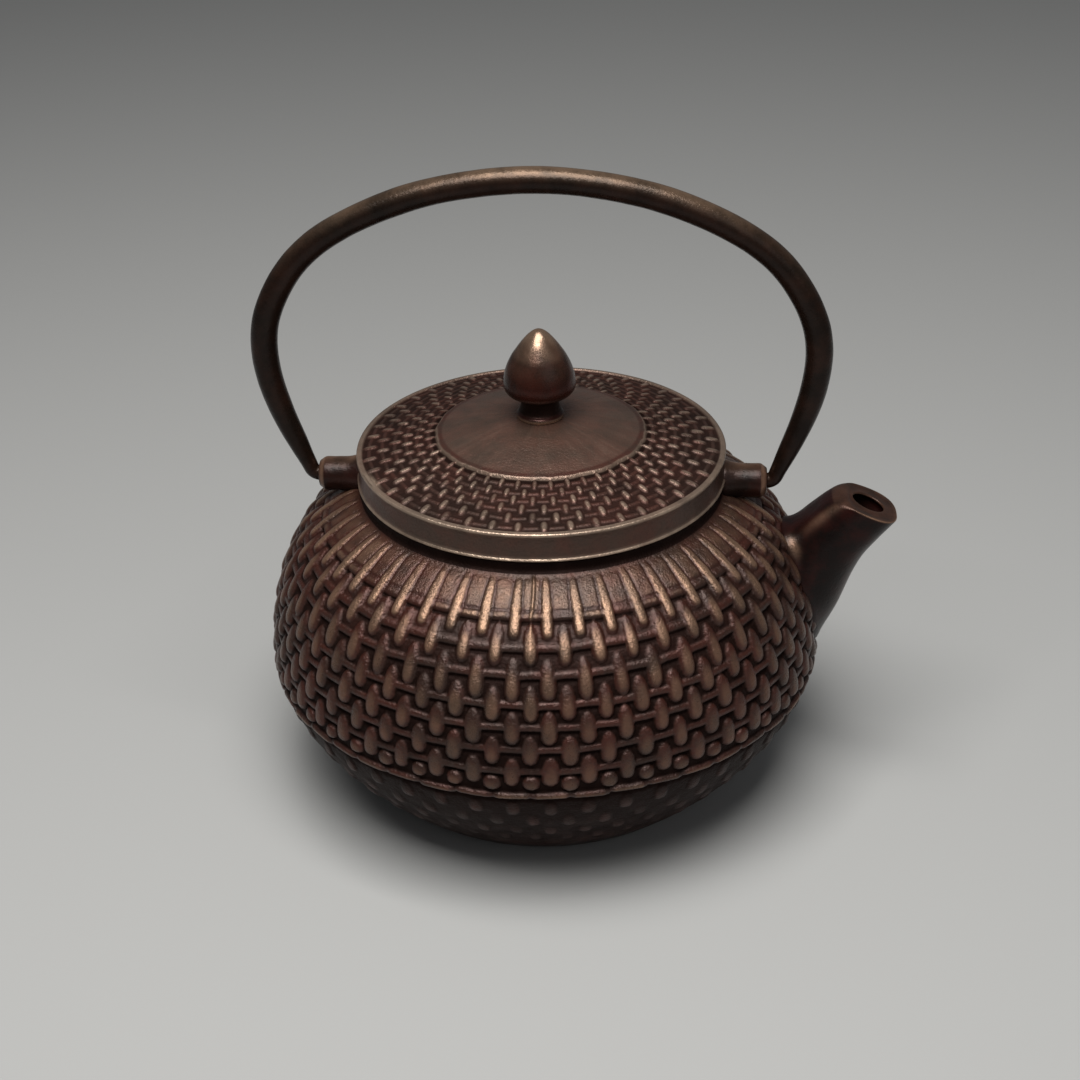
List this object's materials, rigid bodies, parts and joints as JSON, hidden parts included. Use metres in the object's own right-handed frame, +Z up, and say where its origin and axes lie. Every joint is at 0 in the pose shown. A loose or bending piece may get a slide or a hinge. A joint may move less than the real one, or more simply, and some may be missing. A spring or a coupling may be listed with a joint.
{
  "type": "teapot",
  "caption": "Small round cast iron teapot with woven-grain relief, short stub spout, lift-off lid with a bud knob, and a swinging bail handle.",
  "frame": {"origin": "centre of the flat base, on the face the pot stands on", "axes": "+Z up along the pot's axis; +X horizontal, from the axis towards the spout and along the two lugs; +Y across"},
  "size_m": [0.1051, 0.0932, 0.107],
  "materials": {
    "pot_iron": "dark reddish-brown oxide patina, semi-gloss, worn to dull copper-brown metal on the raised grains",
    "lid_iron": "dark reddish-brown oxide patina, semi-gloss, bright worn edges",
    "smooth_iron": "smooth near-black brown patina, semi-gloss, worn brown highlights",
    "bail_iron": "bent iron rod, blackened, polished brown by hands along its top",
    "rivet_iron": "hammered iron, dull brown"
  },
  "bodies": {
    "pot": {"pot_body": "pot_iron", "spout": "smooth_iron", "spout_side_lug": "smooth_iron", "rear_lug": "smooth_iron"},
    "lid": {"lid": "lid_iron", "lid_knob": "smooth_iron", "knob_rivet": "rivet_iron", "knob_washer": "rivet_iron"},
    "bail": {"bail_handle": "bail_iron"}
  },
  "joints": [
    {"name": "lid_lift", "type": "slide", "parent": "pot", "child": "lid", "axis": [0, 0, 1], "range_m": [0, 0.02]},
    {"name": "bail_swing", "type": "hinge", "parent": "pot", "child": "bail", "pos_m": [0, 0, 0.05375], "axis": [1, 0, 0], "range_deg": [-110, 110]}
  ]
}
